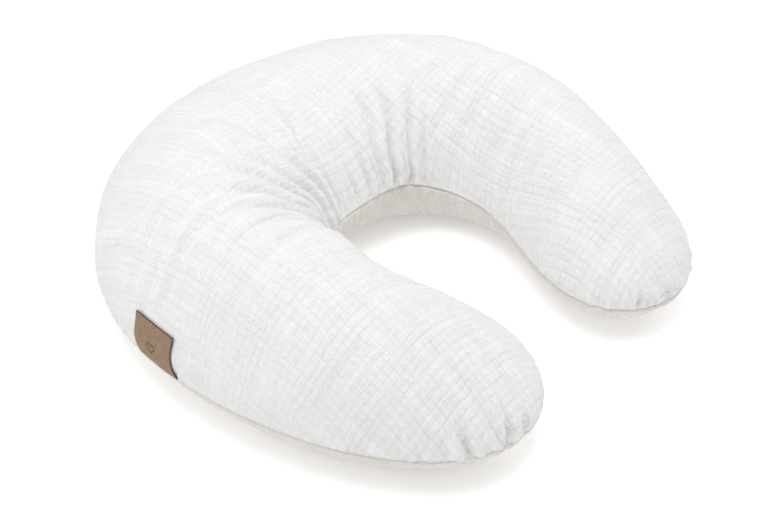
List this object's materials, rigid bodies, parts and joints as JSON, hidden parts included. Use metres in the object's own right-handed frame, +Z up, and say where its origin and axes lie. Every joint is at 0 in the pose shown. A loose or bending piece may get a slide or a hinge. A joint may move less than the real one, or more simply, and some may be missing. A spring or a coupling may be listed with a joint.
{
  "type": "nursing pillow",
  "caption": "Crescent-shaped nursing pillow: padded C-shaped cushion in a muslin cover with a waist notch, a side label and a curved zip at the back.",
  "frame": {"origin": "centre of the outline's box, on the surface the pillow lies on", "axes": "+Z up from the surface it lies on, -Y out of the mouth between the two arms, +Y to the back of the curve, +X to the right with the arms towards the viewer"},
  "size_m": [0.6004, 0.6126, 0.1869],
  "materials": {
    "muslin": "white double-gauze muslin, crinkled",
    "liner_cotton": "plain cotton",
    "hollow_fibre": "hollow-fibre filling",
    "sewing_thread": "white polyester thread",
    "zip_tape": "white woven tape",
    "zip_coil": "white nylon coil",
    "zip_metal": "nickel-plated zinc",
    "leatherette": "tan leatherette with dark cut edges"
  },
  "bodies": {
    "pillow": {"cover_top_panel": "muslin", "cover_bottom_panel": "muslin", "outer_seam_stitching_left": "sewing_thread", "outer_seam_stitching_right": "sewing_thread", "notch_seam_stitching": "sewing_thread", "liner_top_panel": "liner_cotton", "liner_bottom_panel": "liner_cotton", "liner_seam_stitching": "sewing_thread", "fibre_filling": "hollow_fibre", "zip_tape_upper": "zip_tape", "zip_tape_lower": "zip_tape", "zip_coil_upper": "zip_coil", "zip_coil_lower": "zip_coil", "zip_end_stop_left": "zip_metal", "zip_end_stop_right": "zip_metal"},
    "slider": {"zip_slider": "zip_metal"},
    "pull_tab": {"zip_pull_tab": "zip_metal"},
    "label": {"side_label": "leatherette"}
  },
  "joints": [
    {"name": "slider_travel", "type": "hinge", "parent": "pillow", "child": "slider", "pos_m": [0.0025, 0.0052, 0.0519], "axis": [0, 0, 1], "range_deg": [0, 73]},
    {"name": "pull_tab_swing", "type": "hinge", "parent": "slider", "child": "pull_tab", "pos_m": [0.19452, 0.23732, 0.0519], "axis": [0, 0, -1], "range_deg": [0, 170]},
    {"name": "label_lift", "type": "hinge", "parent": "pillow", "child": "label", "pos_m": [-0.29615, 0.02855, 0.0519], "axis": [-0.1896, -0.9819, 0], "range_deg": [0, 100], "stiffness_Nm_per_rad": 0.002}
  ]
}
